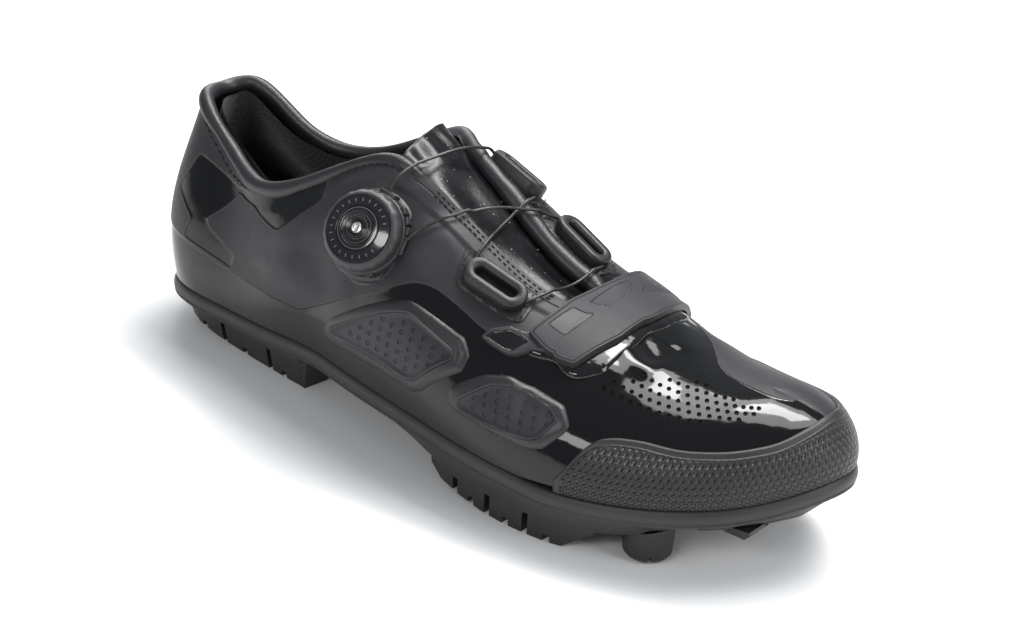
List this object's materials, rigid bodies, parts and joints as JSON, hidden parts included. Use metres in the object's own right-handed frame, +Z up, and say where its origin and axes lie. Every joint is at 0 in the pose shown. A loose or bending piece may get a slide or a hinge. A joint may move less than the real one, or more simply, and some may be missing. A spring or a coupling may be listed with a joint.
{
  "type": "cycling shoe",
  "caption": "Low black off-road cycling shoe with a side lacing dial, crossed thin laces, a forefoot strap, a rubber toe cap and a lugged sole.",
  "frame": {"origin": "middle of the bounding box's floor, under the arch, at the plane of the lug bottoms", "axes": "+X towards the toe, +Y towards the inner side of the foot, +Z up"},
  "size_m": [0.2916, 0.1072, 0.1017],
  "materials": {
    "upper_synthetic": "matte synthetic leather",
    "tongue_synthetic": "speckled gloss synthetic",
    "gloss_synthetic": "gloss synthetic",
    "lining_fabric": "black knit",
    "sole_plate": "satin nylon",
    "tread_rubber": "matte rubber",
    "toe_rubber": "dimpled matte rubber",
    "dial_plastic": "satin",
    "dial_rubber": "matte grip",
    "gloss_plastic": "gloss",
    "steel": "brushed",
    "lace": "coated cable"
  },
  "bodies": {
    "root": {"upper": "upper_synthetic", "collar_lining": "lining_fabric", "tongue": "tongue_synthetic", "insole": "lining_fabric", "sole_plate": "sole_plate", "forefoot_tread_outer": "tread_rubber", "forefoot_tread_inner": "tread_rubber", "heel_tread": "tread_rubber", "toe_lug_outer": "tread_rubber", "toe_lug_inner": "tread_rubber", "toe_stud_outer": "tread_rubber", "toe_stud_inner": "tread_rubber", "toe_cap": "toe_rubber", "side_pad_rear": "upper_synthetic", "side_pad_front": "upper_synthetic", "strap_landing": "gloss_synthetic", "forefoot_strap": "upper_synthetic", "strap_pull_tab": "gloss_synthetic", "dial_base": "dial_plastic", "dial_knob": "dial_rubber", "dial_cap": "gloss_plastic", "dial_screw": "steel", "lace_guide_outer": "dial_plastic", "lace_guide_upper_inner": "dial_plastic", "lace_guide_lower_inner": "dial_plastic", "lace_upper": "lace", "lace_crossing": "lace", "lace_lower": "lace"}
  },
  "joints": []
}
